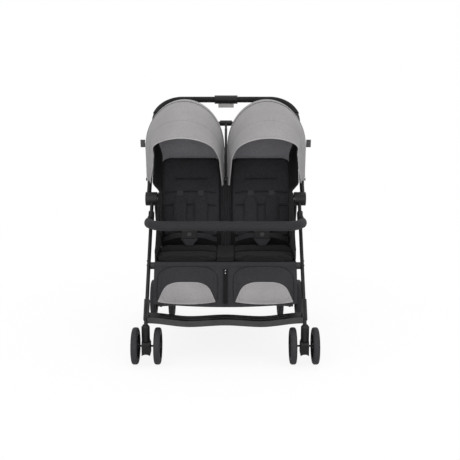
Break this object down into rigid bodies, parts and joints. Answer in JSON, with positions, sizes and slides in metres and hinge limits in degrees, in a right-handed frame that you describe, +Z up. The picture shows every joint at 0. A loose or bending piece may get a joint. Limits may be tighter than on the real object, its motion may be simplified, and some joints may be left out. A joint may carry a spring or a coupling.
{
  "type": "side by side double stroller",
  "caption": "Side by side double stroller: folding tube frame with paired wheels, reclining padded seats, domed hoods, a padded bumper bar and an under-seat basket.",
  "frame": {"origin": "on the floor under the middle of the stroller's box", "axes": "+Z up, the stroller faces -Y, +X to the right seen from the front"},
  "size_m": [0.7658, 0.84, 1.0642],
  "materials": {
    "frame_tube": "satin black powder coat",
    "plastic_black": "fine moulded texture",
    "plastic_grey": "fine moulded texture",
    "lever_grey": "satin",
    "steel": "satin",
    "tyre": "smooth foam tyre",
    "hood_fabric": "heather grey weave",
    "seat_fabric": "black woven",
    "calf_fabric": "charcoal woven"
  },
  "bodies": {
    "front_frame": {"front_leg_left": "frame_tube", "front_leg_right": "frame_tube", "hub_pins": "steel", "footrest_bar": "plastic_grey", "caster_sockets": "plastic_black", "seat_frame": "frame_tube", "seat_brackets": "plastic_grey", "seat_boards": "plastic_black", "seat_pad_left": "seat_fabric", "seat_pad_right": "seat_fabric", "crotch_straps": "seat_fabric", "buckles": "plastic_black", "bar_receivers": "plastic_black", "basket": "seat_fabric", "seat_gusset": "seat_fabric"},
    "push_frame": {"push_handle": "frame_tube", "handle_grips": "plastic_black", "fold_housing": "plastic_black", "hood_post": "frame_tube", "hub_covers": "plastic_black", "hood_pins": "steel", "hood_rear_left": "hood_fabric", "hood_rear_right": "hood_fabric"},
    "fold_lever": {"fold_lever": "lever_grey"},
    "rear_frame": {"rear_leg_left": "frame_tube", "rear_leg_right": "frame_tube", "rear_axle": "frame_tube"},
    "brake": {"brake_pedal": "plastic_grey"},
    "calf_rest": {"calf_board": "calf_fabric", "calf_pads": "calf_fabric", "calf_strip": "plastic_black"},
    "bumper": {"bumper_bar": "calf_fabric", "bar_plugs": "plastic_black"},
    "bar_release": {"bar_release": "plastic_grey"},
    "hood_left": {"hood_front_left": "hood_fabric"},
    "seat_back_left": {"back_board_left": "plastic_black", "back_pad_left": "seat_fabric"},
    "buckle_button_left": {"buckle_button_left": "plastic_grey"},
    "caster_left": {"caster_left": "plastic_black"},
    "front_wheel_left_outer": {"front_tyre_left_outer": "tyre", "front_rim_left_outer": "plastic_black"},
    "front_wheel_left_inner": {"front_tyre_left_inner": "tyre", "front_rim_left_inner": "plastic_black"},
    "rear_wheel_left_outer": {"rear_tyre_left_outer": "tyre", "rear_rim_left_outer": "plastic_black"},
    "rear_wheel_left_inner": {"rear_tyre_left_inner": "tyre", "rear_rim_left_inner": "plastic_black"},
    "hood_right": {"hood_front_right": "hood_fabric"},
    "seat_back_right": {"back_board_right": "plastic_black", "back_pad_right": "seat_fabric"},
    "buckle_button_right": {"buckle_button_right": "plastic_grey"},
    "caster_right": {"caster_right": "plastic_black"},
    "front_wheel_right_outer": {"front_tyre_right_outer": "tyre", "front_rim_right_outer": "plastic_black"},
    "front_wheel_right_inner": {"front_tyre_right_inner": "tyre", "front_rim_right_inner": "plastic_black"},
    "rear_wheel_right_outer": {"rear_tyre_right_outer": "tyre", "rear_rim_right_outer": "plastic_black"},
    "rear_wheel_right_inner": {"rear_tyre_right_inner": "tyre", "rear_rim_right_inner": "plastic_black"}
  },
  "joints": [
    {"name": "frame_fold", "type": "hinge", "parent": "front_frame", "child": "push_frame", "pos_m": [0, 0, 0.63], "axis": [1, 0, 0], "range_deg": [0, 70]},
    {"name": "rear_leg_fold", "type": "hinge", "parent": "front_frame", "child": "rear_frame", "pos_m": [0, 0, 0.63], "axis": [1, 0, 0], "range_deg": [-30, 0]},
    {"name": "fold_lever_squeeze", "type": "slide", "parent": "push_frame", "child": "fold_lever", "axis": [0, 0, 1], "range_m": [0, 0.006], "stiffness_N_per_m": 400},
    {"name": "brake_press", "type": "hinge", "parent": "rear_frame", "child": "brake", "pos_m": [0, 0.231, 0.117], "axis": [-1, 0, 0], "range_deg": [0, 15]},
    {"name": "calf_raise", "type": "hinge", "parent": "front_frame", "child": "calf_rest", "pos_m": [0, -0.21496, 0.387], "axis": [-1, 0, 0], "range_deg": [0, 60]},
    {"name": "bumper_open", "type": "hinge", "parent": "front_frame", "child": "bumper", "pos_m": [-0.3239, -0.11181, 0.552], "axis": [0, 0, -1], "range_deg": [0, 80]},
    {"name": "bar_release_press", "type": "slide", "parent": "front_frame", "child": "bar_release", "axis": [0, 0, 1], "range_m": [0, 0.002], "stiffness_N_per_m": 300},
    {"name": "hood_left_fold", "type": "hinge", "parent": "push_frame", "child": "hood_left", "pos_m": [0, 0.07363, 0.70625], "axis": [-1, 0, 0], "range_deg": [0, 44]},
    {"name": "seat_back_left_recline", "type": "hinge", "parent": "front_frame", "child": "seat_back_left", "pos_m": [0, 0.082, 0.387], "axis": [-1, 0, 0], "range_deg": [0, 40]},
    {"name": "buckle_left_press", "type": "slide", "parent": "front_frame", "child": "buckle_button_left", "axis": [0, 0.8192, -0.5736], "range_m": [0, 0.0025], "stiffness_N_per_m": 300},
    {"name": "caster_left_swivel", "type": "hinge", "parent": "front_frame", "child": "caster_left", "pos_m": [-0.3239, -0.368, 0.1], "axis": [0, 0, 1], "continuous": true},
    {"name": "front_wheel_left_outer_spin", "type": "hinge", "parent": "caster_left", "child": "front_wheel_left_outer", "pos_m": [-0.3699, -0.344, 0.076], "axis": [1, 0, 0], "continuous": true},
    {"name": "front_wheel_left_inner_spin", "type": "hinge", "parent": "caster_left", "child": "front_wheel_left_inner", "pos_m": [-0.2779, -0.344, 0.076], "axis": [1, 0, 0], "continuous": true},
    {"name": "rear_wheel_left_outer_spin", "type": "hinge", "parent": "rear_frame", "child": "rear_wheel_left_outer", "pos_m": [-0.3525, 0.265, 0.09], "axis": [1, 0, 0], "continuous": true},
    {"name": "rear_wheel_left_inner_spin", "type": "hinge", "parent": "rear_frame", "child": "rear_wheel_left_inner", "pos_m": [-0.2645, 0.265, 0.09], "axis": [1, 0, 0], "continuous": true},
    {"name": "hood_right_fold", "type": "hinge", "parent": "push_frame", "child": "hood_right", "pos_m": [0, 0.07363, 0.70625], "axis": [-1, 0, 0], "range_deg": [0, 44]},
    {"name": "seat_back_right_recline", "type": "hinge", "parent": "front_frame", "child": "seat_back_right", "pos_m": [0, 0.082, 0.387], "axis": [-1, 0, 0], "range_deg": [0, 40]},
    {"name": "buckle_right_press", "type": "slide", "parent": "front_frame", "child": "buckle_button_right", "axis": [0, 0.8192, -0.5736], "range_m": [0, 0.0025], "stiffness_N_per_m": 300},
    {"name": "caster_right_swivel", "type": "hinge", "parent": "front_frame", "child": "caster_right", "pos_m": [0.3239, -0.368, 0.1], "axis": [0, 0, 1], "continuous": true},
    {"name": "front_wheel_right_outer_spin", "type": "hinge", "parent": "caster_right", "child": "front_wheel_right_outer", "pos_m": [0.3699, -0.344, 0.076], "axis": [1, 0, 0], "continuous": true},
    {"name": "front_wheel_right_inner_spin", "type": "hinge", "parent": "caster_right", "child": "front_wheel_right_inner", "pos_m": [0.2779, -0.344, 0.076], "axis": [1, 0, 0], "continuous": true},
    {"name": "rear_wheel_right_outer_spin", "type": "hinge", "parent": "rear_frame", "child": "rear_wheel_right_outer", "pos_m": [0.3525, 0.265, 0.09], "axis": [1, 0, 0], "continuous": true},
    {"name": "rear_wheel_right_inner_spin", "type": "hinge", "parent": "rear_frame", "child": "rear_wheel_right_inner", "pos_m": [0.2645, 0.265, 0.09], "axis": [1, 0, 0], "continuous": true}
  ],
  "couplings": [
    {"joint": "rear_leg_fold", "follows": "frame_fold", "ratio": -0.42857}
  ]
}
